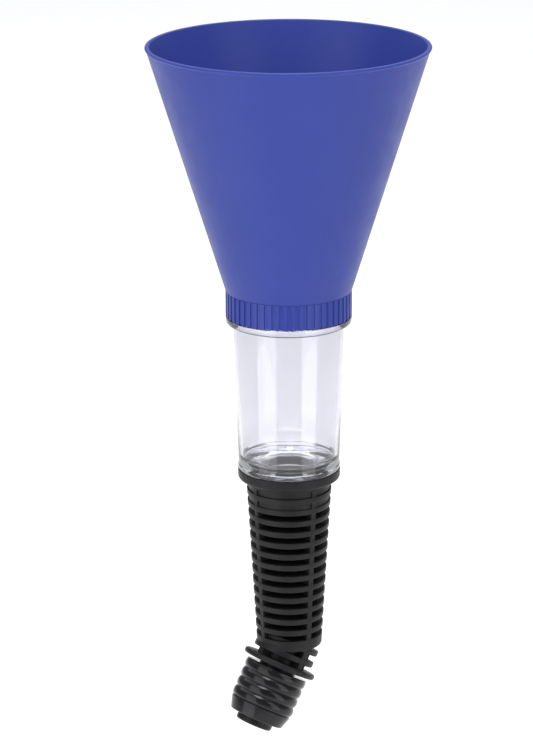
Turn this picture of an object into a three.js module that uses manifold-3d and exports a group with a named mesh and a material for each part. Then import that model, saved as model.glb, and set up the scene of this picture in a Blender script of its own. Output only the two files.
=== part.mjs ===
// Filling funnel that screws together from a plastic cone, a clear cup and a bent ribbed spout.
// Millimetres, +Z up. The origin is on the outlet's axis at the underside of the locating disc,
// where the spout rests in a filler neck. The outlet leans towards -X.
import * as THREE from 'three';
import * as BufferGeometryUtils from 'three/addons/utils/BufferGeometryUtils.js';
import Module from 'manifold-3d';

const wasm = await Module();
wasm.setup();

// ---------- driving dimensions ----------

const GAP = 0.3;                    // clearance between pieces that touch or slide
const CHORD_LOSS = 0.1;             // extra radial room where two faceted rounds turn in each other
const THREAD_SINK = 0.5;            // thread ridges start this far inside their wall
const THREAD_ROOT_SHARE = 0.24;     // half the ridge's width at its root, in pitches
const THREAD_CREST_SHARE = 0.12;    // and at its crest

// funnel: cone, rim bead and knurled screw collar
const RIM_RADIUS = 70;
const CONE_HEIGHT = 123.15;
const FUNNEL_WALL = 2;
const RIM_BEAD_HEIGHT = 2.6;
const RIM_BEAD_BULGE = 0.6;
const RIM_EDGE = 0.4;               // chamfer on both edges of the lip
const COLLAR_HEIGHT = 12.8;
const COLLAR_WALL = 2.1;
const COLLAR_LEDGE = 2.2;           // thickness of the step that the gasket bears on
const LEDGE_FALL = 0.88;            // drop of the step's top towards its throat
const KNURL_COUNT = 50;
const KNURL_DEPTH = 0.6;
const KNURL_BACK = 0.62;            // share of each rib's pitch taken by its back
const KNURL_FLANK = 0.12;           // and by each of its flanks
const FUNNEL_THREAD_PITCH = 4;
const FUNNEL_THREAD_HEIGHT = 1.1;
const FUNNEL_THREAD_START = 1.6;    // above the collar's foot
const MOUTH_THREAD_START = 3.3;     // the cup's thread, above the same level
const THREAD_RUN_OUT = 0.24;        // threads end this far below the cup's mouth
const GASKET_THICKNESS = 1.2;

// clear cup
const CUP_HEIGHT = 79.7;            // underside of the cup to the top of its flange
const CUP_TOP_RADIUS = 27.9;
const CUP_BASE_RADIUS = 25.75;
const CUP_WALL = 2;
const CUP_MOUTH_WALL = 2.05;        // wall of the threaded mouth
const CUP_FLANGE_THICKNESS = 3.5;
const CUP_FLANGE_CHAMFER = [1.4, 1.3];
const CUP_FLANGE_DRAFT = 0.2;
const CUP_FOOT_CHAMFER = 0.5;
const CUP_BASE_BAND = 2.3;
const CUP_BAND_STEP = 0.2;
const FLOOR_HOLE_HEIGHT = 0.9;      // floor above the underside, at the edge of the hole
const FLOOR_STEP_WIDTH = 4.8;       // flat round the hole
const FLOOR_STEP_HEIGHT = 2.2;
const FLOOR_STEP_FALL = [0.6, 0.5];
const FLOOR_DISH_MARGIN = 2.45;     // from the inside of the wall to the dish
const FLOOR_DISH_HEIGHT = 5;
const FLOOR_CORNER = [0.7, 2.1, 1.1];
const NECK_BORE_RADIUS = 10.4;
const NECK_WALL = 2.2;
const NECK_LENGTH = 12;
const NECK_THREAD_PITCH = 3.2;
const NECK_THREAD_HEIGHT = 0.9;
const NECK_THREAD_START = 1.6;      // above the neck's end
const SOCKET_THREAD_START = 3.2;    // the spout's thread, above the same level
const NECK_THREAD_RUN_OUT = 1.63;   // the spout's thread ends this far below its flange

// pale sealing ring on the spout's spigot
const RING_THICKNESS = 1.2;
const RING_DEPTH = 2.8;             // top of the ring below the spout's flange
const SPIGOT_CLEARANCE = 0.65;      // spigot inside the cup's neck

// spout: flange, ribbed tube, bend, locating disc and outlet tube
const SPOUT_LENGTH = 95.25;         // bend centre to the top of the flange
const SPOUT_FLANGE_LIP = 0.1;       // flange past the cup's base
const SPOUT_FLANGE_THICKNESS = 5.3;
const SPOUT_FLANGE_CHAMFER = [1, 1.4];
const SPOUT_TOP_RADIUS = 21.8;
const SPOUT_BEND_RADIUS = 16.65;
const SPOUT_BORE_RADIUS = 7.45;
const CORE_WALL = 2.55;
const SOCKET_FLOOR = 3;             // solid left under the socket, so slots over that stay shallow
const SLOT_PITCH = 6.04;
const SLOT_HEIGHT = 3;
const LAST_SLOT_HEIGHT = 5.9;       // lower edge of the lowest slot above the bend centre
const RECESS_DEPTH = 0.8;           // depth of the shallow slots round the socket
const FIN_COUNT = 4;
const FIN_THICKNESS = 2.8;
const FIN_SINK = 0.15;              // fins end this far below the ribs' faces
const FIN_OVERLAP = 1;              // fins start inside the core and end inside the flange or disc
const BEND_ANGLE = THREE.MathUtils.degToRad(30);
const BEND_BLOCK_DROP = 0.1;        // the straight tube ends this far below the bend centre
const OUTLET_RIB_SETBACK = 0.55;    // ribs of the outlet inside the tube's radius at the bend
const OUTLET_RIB_COUNT = 2;
const OUTLET_RIB_START = -0.9;      // along the outlet's axis from the bend centre
const OUTLET_RIB_PITCH = 6.2;
const OUTLET_RIB_THICKNESS = 3.15;
const DISC_RADIUS = 19.35;
const DISC_THICKNESS = 3;
const DISC_CHAMFER = 0.9;
const DISC_NECK = 2.75;             // slot between the last rib and the disc
const OUTLET_WALL = 2.1;
const OUTLET_LENGTH = 47;
const TUBE_END_CHAMFER = 0.8;

// rubber sleeve on the outlet tube
const SLEEVE_SET_OFF = 1.65;        // sleeve below the disc
const OUTLET_SHOWING = 3.7;         // tube that shows past the sleeve
const SLEEVE_WALL = 6.7;            // bore to the rings' crests
const SLEEVE_VALLEY_DEPTH = 0.85;
const SLEEVE_RING_COUNT = 4;
const SLEEVE_LEAD_IN = 0.8;         // before the first ring
const SLEEVE_TOP_CHAMFER = 1.2;
const SLEEVE_TAPER_LENGTH = 5.69;
const SLEEVE_TAPER_DEPTH = 2.5;
const SLEEVE_END_CHAMFER = 0.6;

// facets round each piece
const FUNNEL_SEGMENTS = 60;
const CUP_SEGMENTS = 48;
const SPOUT_SEGMENTS = 28;
const THREAD_SEGMENTS = 24;         // per turn

// ---------- levels shared by the pieces, up the main axis from the bend centre ----------

const FLANGE_TOP = SPOUT_LENGTH;
const CUP_BOTTOM = FLANGE_TOP + GAP;
const CUP_FLANGE_TOP = CUP_BOTTOM + CUP_HEIGHT;
const COLLAR_BOTTOM = CUP_FLANGE_TOP + GAP;
const CONE_START = COLLAR_BOTTOM + COLLAR_HEIGHT;
const RIM_TOP = CONE_START + CONE_HEIGHT;
const TUBE_TOP = FLANGE_TOP - SPOUT_FLANGE_THICKNESS;
const LEDGE_UNDERSIDE = CONE_START - COLLAR_LEDGE;
const GASKET_TOP = LEDGE_UNDERSIDE - GAP;
const GASKET_BOTTOM = GASKET_TOP - GASKET_THICKNESS;
const MOUTH_TOP = GASKET_BOTTOM - GAP;

// radii shared by mating pieces
const CUP_INNER_TOP = CUP_TOP_RADIUS - CUP_WALL;
const MOUTH_RADIUS = CUP_INNER_TOP + CUP_MOUTH_WALL;
const MOUTH_THREAD_CREST = MOUTH_RADIUS + FUNNEL_THREAD_HEIGHT;
const COLLAR_BORE = MOUTH_THREAD_CREST + GAP + CHORD_LOSS;
const COLLAR_RADIUS = COLLAR_BORE + COLLAR_WALL;
const CUP_FLANGE_RADIUS = COLLAR_RADIUS;
const SPOUT_FLANGE_RADIUS = CUP_BASE_RADIUS + SPOUT_FLANGE_LIP;
const NECK_RADIUS = NECK_BORE_RADIUS + NECK_WALL;
const NECK_THREAD_CREST = NECK_RADIUS + NECK_THREAD_HEIGHT;
const SOCKET_RADIUS = NECK_THREAD_CREST + GAP + CHORD_LOSS;
const SOCKET_DEPTH = NECK_LENGTH + GAP;
const SPIGOT_RADIUS = NECK_BORE_RADIUS - SPIGOT_CLEARANCE;
const RING_TOP = FLANGE_TOP - RING_DEPTH;
const SPIGOT_TOP = RING_TOP - RING_THICKNESS - GAP;
const CORE_RADIUS = SPOUT_BORE_RADIUS + CORE_WALL;
const OUTLET_RIB_RADIUS = SPOUT_BEND_RADIUS - OUTLET_RIB_SETBACK;
const OUTLET_TUBE_RADIUS = SPOUT_BORE_RADIUS + OUTLET_WALL;
const SLEEVE_BORE = OUTLET_TUBE_RADIUS + GAP + CHORD_LOSS;
const SLEEVE_CREST_RADIUS = SLEEVE_BORE + SLEEVE_WALL;
const SLEEVE_END_RADIUS = SLEEVE_CREST_RADIUS - SLEEVE_TAPER_DEPTH;

// places along the outlet's axis from the bend centre
const OUTLET_RIBS_END = OUTLET_RIB_START + (OUTLET_RIB_COUNT - 1) * OUTLET_RIB_PITCH + OUTLET_RIB_THICKNESS;
const DISC_TOP = OUTLET_RIBS_END + DISC_NECK;
const DISC_UNDERSIDE = DISC_TOP + DISC_THICKNESS;
const SLEEVE_START = DISC_UNDERSIDE + SLEEVE_SET_OFF;
const SLEEVE_END = OUTLET_LENGTH - OUTLET_SHOWING;

// ---------- solids ----------

// A closed geometry as a solid that can be joined and cut.
function solidOf(geometry) {
  const bare = geometry.index ? geometry.toNonIndexed() : geometry.clone();
  bare.deleteAttribute('normal');
  bare.deleteAttribute('uv');
  const merged = BufferGeometryUtils.mergeVertices(bare, 1e-4);
  return new wasm.Manifold(new wasm.Mesh({
    numProp: 3,
    vertProperties: new Float32Array(merged.attributes.position.array),
    triVerts: new Uint32Array(merged.index.array),
  }));
}

// A solid back as a geometry for a mesh.
function geometryOf(solid) {
  const mesh = solid.getMesh();
  const geometry = new THREE.BufferGeometry();
  geometry.setAttribute('position', new THREE.BufferAttribute(new Float32Array(mesh.vertProperties), 3));
  geometry.setIndex(new THREE.BufferAttribute(new Uint32Array(mesh.triVerts), 1));
  geometry.computeVertexNormals();
  return geometry;
}

// A ring or a disc: [radius, height] points, outer side upwards, revolved about Z.
function revolve(points, segments, closed = true) {
  const outline = points.map(([r, z]) => new THREE.Vector2(r, z));
  if (closed) outline.push(outline[0].clone());
  return solidOf(new THREE.LatheGeometry(outline, segments).rotateX(Math.PI / 2));
}

// A plain round bar between two heights.
function bar(radius, bottom, top, segments) {
  return revolve([[0, bottom], [radius, bottom], [radius, top], [0, top]], segments, false);
}

// A helical thread ridge: a trapezium swept up a helix, from its root inside the wall to its crest.
function threadRidge(rootRadius, crestRadius, pitch, turns, start) {
  const rootHalf = pitch * THREAD_ROOT_SHARE;
  const crestHalf = pitch * THREAD_CREST_SHARE;
  const steps = Math.round(turns * THREAD_SEGMENTS);
  const inward = crestRadius < rootRadius;
  const section = [
    [rootRadius, -rootHalf],
    [crestRadius, -crestHalf],
    [crestRadius, crestHalf],
    [rootRadius, rootHalf],
  ];
  if (inward) section.reverse();
  const positions = [];
  for (let i = 0; i <= steps; i += 1) {
    const turn = i / THREAD_SEGMENTS;
    const angle = turn * 2 * Math.PI;
    for (const [r, z] of section) {
      positions.push(r * Math.cos(angle), r * Math.sin(angle), start + turn * pitch + z);
    }
  }
  const index = [];
  const n = section.length;
  for (let i = 0; i < steps; i += 1) {
    for (let k = 0; k < n; k += 1) {
      const a = i * n + k;
      const b = i * n + (k + 1) % n;
      index.push(a, a + n, b, b, a + n, b + n);
    }
  }
  const last = steps * n;
  index.push(0, 1, 2, 0, 2, 3);
  index.push(last, last + 2, last + 1, last, last + 3, last + 2);
  const geometry = new THREE.BufferGeometry();
  geometry.setAttribute('position', new THREE.Float32BufferAttribute(positions, 3));
  geometry.setIndex(index);
  return solidOf(geometry);
}

// Turns of a thread that fit a height, with half a ridge at each end.
function turnsIn(height, pitch) {
  return height / pitch - THREAD_ROOT_SHARE;
}

// A flat plate standing on an axis: an outline of [radius, height] points, centred on the XZ plane.
function plate(points, thickness) {
  const shape = new THREE.Shape(points.map(([r, z]) => new THREE.Vector2(r, z)));
  const geometry = new THREE.ExtrudeGeometry(shape, { depth: thickness, bevelEnabled: false });
  geometry.translate(0, 0, -thickness / 2);
  geometry.rotateX(Math.PI / 2);
  return solidOf(geometry);
}

// The neck's thread and the socket's have the turns that the socket's has room for.
const NECK_THREAD_ROOM = NECK_LENGTH - NECK_THREAD_RUN_OUT - SOCKET_THREAD_START;
const NECK_THREAD_TURNS = turnsIn(NECK_THREAD_ROOM, NECK_THREAD_PITCH);

// ---------- funnel ----------

function knurledRing() {
  const shape = new THREE.Shape();
  const step = 2 * Math.PI / KNURL_COUNT;
  const low = COLLAR_RADIUS - KNURL_DEPTH;
  const corners = [
    [0, COLLAR_RADIUS],
    [KNURL_BACK, COLLAR_RADIUS],
    [KNURL_BACK + KNURL_FLANK, low],
    [1 - KNURL_FLANK, low],
  ];
  for (let i = 0; i < KNURL_COUNT; i += 1) {
    for (const [share, radius] of corners) {
      const angle = (i + share) * step;
      const point = [radius * Math.cos(angle), radius * Math.sin(angle)];
      if (i === 0 && share === 0) shape.moveTo(...point);
      else shape.lineTo(...point);
    }
  }
  shape.closePath();
  const blank = new THREE.ExtrudeGeometry(shape, { depth: COLLAR_HEIGHT + GAP, bevelEnabled: false });
  return solidOf(blank.translate(0, 0, COLLAR_BOTTOM));
}

function funnelGeometry() {
  const slope = (RIM_RADIUS - RIM_BEAD_BULGE - COLLAR_RADIUS) / CONE_HEIGHT;
  const wallAcross = FUNNEL_WALL * Math.hypot(1, slope);
  const outer = (z) => COLLAR_RADIUS + slope * (z - CONE_START);
  const beadFoot = RIM_TOP - RIM_BEAD_HEIGHT;
  const throat = CUP_INNER_TOP;
  const cone = revolve([
    [COLLAR_BORE, LEDGE_UNDERSIDE],
    [COLLAR_RADIUS - KNURL_DEPTH - GAP, LEDGE_UNDERSIDE],
    [COLLAR_RADIUS - KNURL_DEPTH - GAP, CONE_START],
    [COLLAR_RADIUS, CONE_START],
    [outer(beadFoot), beadFoot],
    [outer(beadFoot) + RIM_BEAD_BULGE, beadFoot + RIM_BEAD_HEIGHT * 0.25],
    [RIM_RADIUS, RIM_TOP - RIM_BEAD_HEIGHT * 0.3],
    [RIM_RADIUS - RIM_EDGE, RIM_TOP],
    [outer(RIM_TOP) - wallAcross + RIM_EDGE, RIM_TOP],
    [outer(RIM_TOP) - wallAcross, RIM_TOP - RIM_EDGE],
    [COLLAR_RADIUS - wallAcross, CONE_START + GAP],
    [throat, CONE_START - LEDGE_FALL],
    [throat, LEDGE_UNDERSIDE],
  ], FUNNEL_SEGMENTS);
  const bore = bar(COLLAR_BORE, COLLAR_BOTTOM - 1, LEDGE_UNDERSIDE, FUNNEL_SEGMENTS);
  const throatBore = bar(COLLAR_BORE, LEDGE_UNDERSIDE - 1, CONE_START + 1, FUNNEL_SEGMENTS);
  const collar = knurledRing().subtract(bore).subtract(throatBore);
  const threadFoot = COLLAR_BOTTOM + FUNNEL_THREAD_START;
  const ridge = threadRidge(
    COLLAR_BORE + THREAD_SINK,
    COLLAR_BORE - FUNNEL_THREAD_HEIGHT,
    FUNNEL_THREAD_PITCH,
    turnsIn(MOUTH_TOP - THREAD_RUN_OUT - threadFoot, FUNNEL_THREAD_PITCH),
    threadFoot,
  );
  return geometryOf(cone.add(collar).add(ridge));
}

function gasketGeometry() {
  return geometryOf(revolve([
    [CUP_INNER_TOP, GASKET_BOTTOM],
    [COLLAR_BORE - GAP, GASKET_BOTTOM],
    [COLLAR_BORE - GAP, GASKET_TOP],
    [CUP_INNER_TOP, GASKET_TOP],
  ], CUP_SEGMENTS));
}

// ---------- clear cup ----------

function cupGeometry() {
  const bottom = CUP_BOTTOM;
  const flangeUnder = CUP_FLANGE_TOP - CUP_FLANGE_THICKNESS;
  const innerBase = CUP_BASE_RADIUS - CUP_WALL;
  const stepRadius = NECK_BORE_RADIUS + FLOOR_STEP_WIDTH;
  const dishTop = bottom + FLOOR_DISH_HEIGHT;
  const [chamferWidth, chamferHeight] = CUP_FLANGE_CHAMFER;
  const [cornerWidth, cornerHeight, cornerFoot] = FLOOR_CORNER;
  const body = revolve([
    [NECK_BORE_RADIUS, FLANGE_TOP - NECK_LENGTH],
    [NECK_RADIUS, FLANGE_TOP - NECK_LENGTH],
    [NECK_RADIUS, bottom],
    [CUP_BASE_RADIUS - CUP_FOOT_CHAMFER, bottom],
    [CUP_BASE_RADIUS, bottom + CUP_FOOT_CHAMFER],
    [CUP_BASE_RADIUS, bottom + CUP_BASE_BAND],
    [CUP_BASE_RADIUS - CUP_BAND_STEP, bottom + CUP_BASE_BAND + CUP_BAND_STEP],
    [CUP_TOP_RADIUS, flangeUnder],
    [CUP_FLANGE_RADIUS - CUP_FLANGE_DRAFT - chamferWidth, flangeUnder],
    [CUP_FLANGE_RADIUS - CUP_FLANGE_DRAFT, flangeUnder + chamferHeight],
    [CUP_FLANGE_RADIUS, flangeUnder + chamferHeight + 1],
    [CUP_FLANGE_RADIUS, CUP_FLANGE_TOP],
    [MOUTH_RADIUS, CUP_FLANGE_TOP],
    [MOUTH_RADIUS, MOUTH_TOP],
    [CUP_INNER_TOP, MOUTH_TOP],
    [CUP_INNER_TOP, flangeUnder],
    [innerBase, dishTop + cornerFoot + cornerHeight],
    [innerBase - cornerWidth, dishTop + cornerFoot],
    [innerBase - FLOOR_DISH_MARGIN, dishTop],
    [stepRadius, bottom + FLOOR_STEP_HEIGHT],
    [stepRadius - FLOOR_STEP_FALL[0], bottom + FLOOR_HOLE_HEIGHT + FLOOR_STEP_FALL[1]],
    [NECK_BORE_RADIUS, bottom + FLOOR_HOLE_HEIGHT],
  ], CUP_SEGMENTS);
  const mouthFoot = COLLAR_BOTTOM + MOUTH_THREAD_START;
  const mouthRidge = threadRidge(
    MOUTH_RADIUS - THREAD_SINK,
    MOUTH_THREAD_CREST,
    FUNNEL_THREAD_PITCH,
    turnsIn(MOUTH_TOP - THREAD_RUN_OUT - GAP - mouthFoot, FUNNEL_THREAD_PITCH),
    mouthFoot,
  );
  const neckRidge = threadRidge(
    NECK_RADIUS - THREAD_SINK,
    NECK_THREAD_CREST,
    NECK_THREAD_PITCH,
    NECK_THREAD_TURNS,
    FLANGE_TOP - NECK_LENGTH + NECK_THREAD_START,
  );
  return geometryOf(body.add(mouthRidge).add(neckRidge));
}

function ringGeometry() {
  return geometryOf(revolve([
    [SPOUT_BORE_RADIUS, RING_TOP - RING_THICKNESS],
    [NECK_BORE_RADIUS - GAP, RING_TOP - RING_THICKNESS],
    [NECK_BORE_RADIUS - GAP, RING_TOP],
    [SPOUT_BORE_RADIUS, RING_TOP],
  ], SPOUT_SEGMENTS));
}

// ---------- spout ----------

function tubeRadius(z) {
  return SPOUT_BEND_RADIUS + (SPOUT_TOP_RADIUS - SPOUT_BEND_RADIUS) * z / TUBE_TOP;
}

// Slots from the lowest up to the flange; those round the socket stay shallow.
function slotRows() {
  const rows = [];
  for (let low = LAST_SLOT_HEIGHT; low + SLOT_HEIGHT < TUBE_TOP; low += SLOT_PITCH) {
    const high = low + SLOT_HEIGHT;
    rows.push({ low, high, shallow: high > FLANGE_TOP - SOCKET_DEPTH - SOCKET_FLOOR });
  }
  return rows;
}

function straightTube() {
  const [chamferWidth, chamferHeight] = SPOUT_FLANGE_CHAMFER;
  const points = [[0, -BEND_BLOCK_DROP], [tubeRadius(-BEND_BLOCK_DROP), -BEND_BLOCK_DROP]];
  for (const { low, high, shallow } of slotRows()) {
    const floor = shallow ? tubeRadius(low) - RECESS_DEPTH : CORE_RADIUS;
    points.push([tubeRadius(low), low], [floor, low], [floor, high], [tubeRadius(high), high]);
  }
  points.push(
    [SPOUT_TOP_RADIUS, TUBE_TOP],
    [SPOUT_FLANGE_RADIUS - chamferWidth, TUBE_TOP],
    [SPOUT_FLANGE_RADIUS, TUBE_TOP + chamferHeight],
    [SPOUT_FLANGE_RADIUS, FLANGE_TOP],
    [0, FLANGE_TOP],
  );
  return revolve(points, SPOUT_SEGMENTS, false);
}

function outletTube() {
  const ribs = [];
  for (let i = 0; i < OUTLET_RIB_COUNT; i += 1) {
    const start = OUTLET_RIB_START + i * OUTLET_RIB_PITCH;
    ribs.push(bar(OUTLET_RIB_RADIUS, start, start + OUTLET_RIB_THICKNESS, SPOUT_SEGMENTS));
  }
  const disc = revolve([
    [0, DISC_TOP],
    [DISC_RADIUS - DISC_CHAMFER, DISC_TOP],
    [DISC_RADIUS, DISC_TOP + DISC_CHAMFER],
    [DISC_RADIUS, DISC_UNDERSIDE - DISC_CHAMFER],
    [DISC_RADIUS - DISC_CHAMFER, DISC_UNDERSIDE],
    [0, DISC_UNDERSIDE],
  ], SPOUT_SEGMENTS, false);
  const core = bar(CORE_RADIUS, 0, DISC_TOP + 1, SPOUT_SEGMENTS);
  const tube = revolve([
    [0, 0],
    [OUTLET_TUBE_RADIUS, 0],
    [OUTLET_TUBE_RADIUS, OUTLET_LENGTH - TUBE_END_CHAMFER],
    [OUTLET_TUBE_RADIUS - TUBE_END_CHAMFER, OUTLET_LENGTH],
    [0, OUTLET_LENGTH],
  ], SPOUT_SEGMENTS, false);
  return ribs.reduce((whole, rib) => whole.add(rib), disc.add(core).add(tube));
}

// Fins along an axis; the one on the outside of the bend runs on to the mitre.
function fins(inner, outerLow, outerHigh, low, high, mitre) {
  const made = [];
  for (let i = 0; i < FIN_COUNT; i += 1) {
    const foot = i === 0 ? low - mitre : low;
    const outline = [[inner, foot], [outerLow, foot], [outerHigh, high], [inner, high]];
    made.push(plate(outline, FIN_THICKNESS).rotate([0, 0, i * 360 / FIN_COUNT]));
  }
  return made.reduce((whole, fin) => whole.add(fin));
}

// The outlet is built pointing up its own axis, then turned over to lean down towards -X.
function placeOutlet(solid) {
  return solid.rotate([180, 0, 0]).rotate([0, THREE.MathUtils.radToDeg(BEND_ANGLE), 0]);
}

function spoutGeometry() {
  const halfTan = Math.tan(BEND_ANGLE / 2);
  const finRoot = CORE_RADIUS - FIN_OVERLAP;
  const tubeFins = fins(
    finRoot,
    tubeRadius(0) - FIN_SINK,
    tubeRadius(TUBE_TOP) - FIN_SINK,
    0,
    TUBE_TOP + FIN_OVERLAP,
    SPOUT_BEND_RADIUS * halfTan,
  );
  const outletFins = fins(
    finRoot,
    OUTLET_RIB_RADIUS - FIN_SINK,
    OUTLET_RIB_RADIUS - FIN_SINK,
    0,
    DISC_TOP + FIN_OVERLAP,
    OUTLET_RIB_RADIUS * halfTan,
  );
  const keep = placeOutlet(bar(SPOUT_LENGTH, -2 * SPOUT_LENGTH, OUTLET_RIBS_END, 8));
  const bendBall = solidOf(new THREE.SphereGeometry(CORE_RADIUS, SPOUT_SEGMENTS, SPOUT_SEGMENTS / 2)
    .rotateX(Math.PI / 2));
  const straight = straightTube().intersect(keep);
  let spout = straight.add(tubeFins.intersect(keep)).add(bendBall);
  spout = spout.add(placeOutlet(outletTube())).add(placeOutlet(outletFins));

  const socketFloor = FLANGE_TOP - SOCKET_DEPTH;
  const socket = bar(SOCKET_RADIUS, socketFloor, FLANGE_TOP + 1, SPOUT_SEGMENTS)
    .subtract(bar(SPIGOT_RADIUS, socketFloor - 1, SPIGOT_TOP, SPOUT_SEGMENTS));
  const bore = bar(SPOUT_BORE_RADIUS, 0, FLANGE_TOP + 1, SPOUT_SEGMENTS);
  const boreBall = solidOf(new THREE.SphereGeometry(SPOUT_BORE_RADIUS, SPOUT_SEGMENTS, SPOUT_SEGMENTS / 2)
    .rotateX(Math.PI / 2));
  const outletBore = placeOutlet(bar(SPOUT_BORE_RADIUS, 0, OUTLET_LENGTH + 1, SPOUT_SEGMENTS));
  const ridge = threadRidge(
    SOCKET_RADIUS + THREAD_SINK,
    SOCKET_RADIUS - NECK_THREAD_HEIGHT,
    NECK_THREAD_PITCH,
    NECK_THREAD_TURNS,
    FLANGE_TOP - NECK_LENGTH + SOCKET_THREAD_START,
  );
  spout = spout.subtract(socket).subtract(bore).subtract(boreBall).subtract(outletBore);
  return geometryOf(spout.add(ridge));
}

// ---------- rubber sleeve ----------

function sleeveGeometry() {
  const swing = SLEEVE_VALLEY_DEPTH / 2;
  const middle = SLEEVE_CREST_RADIUS - swing;
  const stepsPerRing = 4;
  const ringsStart = SLEEVE_START + SLEEVE_LEAD_IN;
  const ringPitch = (SLEEVE_END - SLEEVE_TAPER_LENGTH - ringsStart) / SLEEVE_RING_COUNT;
  const points = [[SLEEVE_BORE, SLEEVE_START], [SLEEVE_CREST_RADIUS - SLEEVE_TOP_CHAMFER, SLEEVE_START]];
  for (let i = 0; i <= SLEEVE_RING_COUNT * stepsPerRing; i += 1) {
    const share = i / stepsPerRing;
    const radius = middle - swing * Math.cos(share * 2 * Math.PI);
    points.push([radius, ringsStart + share * ringPitch]);
  }
  points.push(
    [middle, SLEEVE_END - SLEEVE_TAPER_LENGTH + SLEEVE_LEAD_IN],
    [SLEEVE_END_RADIUS, SLEEVE_END - SLEEVE_END_CHAMFER],
    [SLEEVE_END_RADIUS - SLEEVE_END_CHAMFER, SLEEVE_END],
    [SLEEVE_BORE, SLEEVE_END],
  );
  return geometryOf(placeOutlet(revolve(points, SPOUT_SEGMENTS)));
}

// ---------- assembly ----------

const blue = { color: 0x3848a0, roughness: 0.42, metalness: 0 };
const clear = { color: 0xe8eaf2, roughness: 0.05, metalness: 0, transparent: true, opacity: 0.35 };
const black = { color: 0x1d1e21, roughness: 0.45, metalness: 0 };
const rubber = { color: 0x17181a, roughness: 0.25, metalness: 0 };
const white = { color: 0xf0f0ec, roughness: 0.5, metalness: 0 };

function piece(name, geometry, finish) {
  const mesh = new THREE.Mesh(geometry, new THREE.MeshStandardMaterial(finish));
  mesh.name = name;
  return mesh;
}

const assembly = new THREE.Group();
assembly.add(
  piece('funnel', funnelGeometry(), blue),
  piece('funnel_gasket', gasketGeometry(), white),
  piece('sight_cup', cupGeometry(), clear),
  piece('neck_ring', ringGeometry(), white),
  piece('spout', spoutGeometry(), black),
  piece('outlet_sleeve', sleeveGeometry(), rubber),
);
assembly.position.set(
  DISC_UNDERSIDE * Math.sin(BEND_ANGLE),
  0,
  DISC_UNDERSIDE * Math.cos(BEND_ANGLE),
);

const model = new THREE.Group();
model.add(assembly);

export default model;
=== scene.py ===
"""A filling funnel with a clear cup and a bent ribbed spout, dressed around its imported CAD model."""
import math

import bmesh
import bpy
from mathutils import Matrix, Vector


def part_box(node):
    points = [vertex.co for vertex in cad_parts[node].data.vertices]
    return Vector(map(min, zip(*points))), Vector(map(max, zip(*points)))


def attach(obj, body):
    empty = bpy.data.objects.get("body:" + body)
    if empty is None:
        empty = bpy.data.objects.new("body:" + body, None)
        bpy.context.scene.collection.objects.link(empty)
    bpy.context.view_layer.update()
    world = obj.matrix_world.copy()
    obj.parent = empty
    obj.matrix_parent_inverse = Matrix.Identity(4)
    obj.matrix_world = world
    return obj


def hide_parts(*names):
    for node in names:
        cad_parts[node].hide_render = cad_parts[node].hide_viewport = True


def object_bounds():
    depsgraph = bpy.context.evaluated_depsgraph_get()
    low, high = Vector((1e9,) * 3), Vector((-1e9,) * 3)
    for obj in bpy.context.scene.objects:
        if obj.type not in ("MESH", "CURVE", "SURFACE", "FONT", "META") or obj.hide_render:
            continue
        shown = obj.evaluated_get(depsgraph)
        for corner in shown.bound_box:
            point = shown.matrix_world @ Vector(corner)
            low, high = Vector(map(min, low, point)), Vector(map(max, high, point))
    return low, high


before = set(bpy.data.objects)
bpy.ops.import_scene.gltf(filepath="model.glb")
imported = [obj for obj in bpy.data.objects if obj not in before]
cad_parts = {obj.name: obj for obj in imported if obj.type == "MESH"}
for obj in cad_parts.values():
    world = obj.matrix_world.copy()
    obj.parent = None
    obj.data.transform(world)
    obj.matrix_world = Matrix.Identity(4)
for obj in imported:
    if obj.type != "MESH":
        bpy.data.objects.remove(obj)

cad_low, cad_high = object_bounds()
scene = bpy.context.scene
MM = 0.001  # the pieces are drawn in millimetres and placed in metres

# ---------- camera ----------
# A long lens a metre and a half away, looking down on the funnel from the side its outlet leans to,
# so that the bend shows three-quarters on and the rim shows as a flat ellipse.
CAMERA_AZIMUTH = math.radians(-36.6)
CAMERA_PITCH = math.radians(17.195)
CAMERA_YAW = math.radians(0.443)
CAMERA_ROLL = math.radians(-0.245)
CAMERA_REACH = 1.453
CAMERA_OVER_RIM = 0.2825
CAMERA_LENS = 145.9
CAMERA_SENSOR = 36

rim_low, rim_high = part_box("funnel")
axis_x = (rim_low.x + rim_high.x) / 2
camera_data = bpy.data.cameras.new("camera")
camera_data.lens = CAMERA_LENS
camera_data.sensor_width = CAMERA_SENSOR
camera = bpy.data.objects.new("camera", camera_data)
scene.collection.objects.link(camera)
camera.matrix_world = (
    Matrix.Translation((axis_x, 0, rim_high.z + CAMERA_OVER_RIM))
    @ Matrix.Rotation(CAMERA_AZIMUTH, 4, "Z")
    @ Matrix.Translation((0, -CAMERA_REACH, 0))
    @ Matrix.Rotation(CAMERA_YAW, 4, "Z")
    @ Matrix.Rotation(math.pi / 2 - CAMERA_PITCH, 4, "X")
    @ Matrix.Rotation(CAMERA_ROLL, 4, "Z")
)
scene.camera = camera
scene.view_settings.view_transform = "Standard"

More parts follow.
